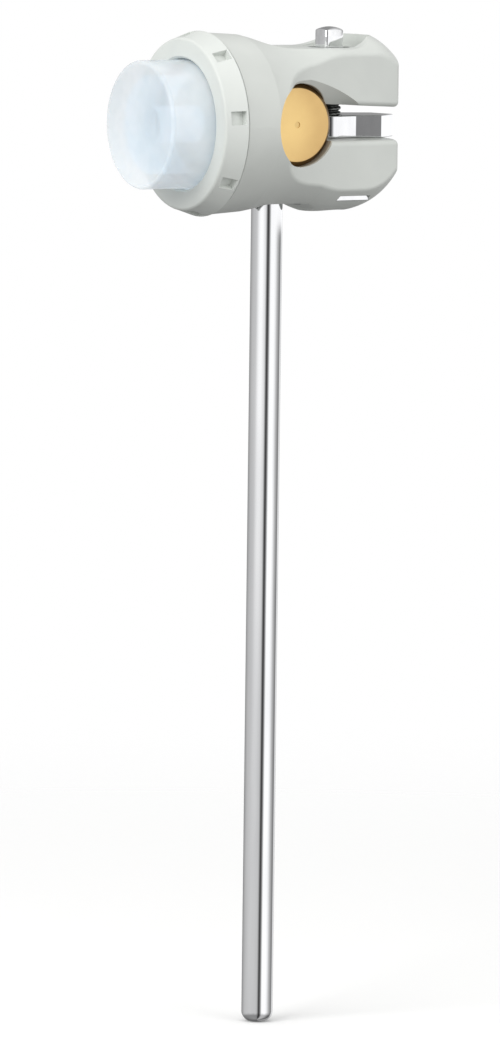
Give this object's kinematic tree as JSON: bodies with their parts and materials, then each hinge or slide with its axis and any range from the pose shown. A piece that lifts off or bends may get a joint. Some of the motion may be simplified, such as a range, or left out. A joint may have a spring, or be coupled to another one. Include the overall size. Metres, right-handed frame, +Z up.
{
  "type": "bass drum beater",
  "caption": "Bass drum beater: chromed shaft with a moulded head that tilts on a brass barrel, a translucent striker under a notched ring, and a clamp screw with a hexagonal weight.",
  "frame": {"origin": "on the shaft's axis where its straight length begins, just above the rounded lower end", "axes": "+Z up the shaft to the head, +X along the barrel that the head tilts on, the striker faces -Y"},
  "size_m": [0.0468, 0.0752, 0.2543],
  "materials": {
    "chrome_shaft": "bright chrome plate",
    "barrel_brass": "satin",
    "head_plastic": "fine matt moulding",
    "ring_plastic": "fine matt moulding",
    "striker_plastic": "milky, slightly glossy",
    "gasket_rubber": "matt",
    "chrome_screw": "bright chrome plate",
    "washer_steel": "zinc plate",
    "chrome_nut": "bright chrome plate",
    "chrome_weight": "bright chrome plate"
  },
  "bodies": {
    "shaft": {"shaft": "chrome_shaft", "pivot_barrel": "barrel_brass"},
    "head": {"head_body": "head_plastic", "striker_gasket": "gasket_rubber", "clamp_nut": "chrome_nut"},
    "striker": {"striker": "striker_plastic"},
    "ring": {"retaining_ring": "ring_plastic"},
    "washer": {"clamp_washer": "washer_steel"},
    "screw": {"clamp_screw": "chrome_screw"},
    "weight": {"weight": "chrome_weight"}
  },
  "joints": [
    {"name": "head_tilt", "type": "hinge", "parent": "shaft", "child": "head", "pos_m": [0, 0, 0.2276], "axis": [1, 0, 0], "range_deg": [-12, 12]},
    {"name": "weight_swivel", "type": "hinge", "parent": "head", "child": "weight", "pos_m": [0, 0.0182, 0.2276], "axis": [0, 0, 1], "range_deg": [-88, 72]},
    {"name": "clamp_rise", "type": "slide", "parent": "head", "child": "washer", "axis": [0, 0, 1], "range_m": [0, 0.00254]},
    {"name": "clamp_turn", "type": "hinge", "parent": "washer", "child": "screw", "pos_m": [0, 0.0182, 0.2276], "axis": [0, 0, 1], "range_deg": [0, 725]},
    {"name": "ring_travel", "type": "slide", "parent": "head", "child": "striker", "axis": [0, -1, 0], "range_m": [0, 0.003]},
    {"name": "ring_turn", "type": "hinge", "parent": "striker", "child": "ring", "pos_m": [0, 0, 0.2276], "axis": [0, -1, 0], "range_deg": [0, 725]}
  ],
  "couplings": [
    {"joint": "clamp_turn", "follows": "clamp_rise", "rad_per_m": 4947.4},
    {"joint": "ring_turn", "follows": "ring_travel", "rad_per_m": 4188.8}
  ]
}
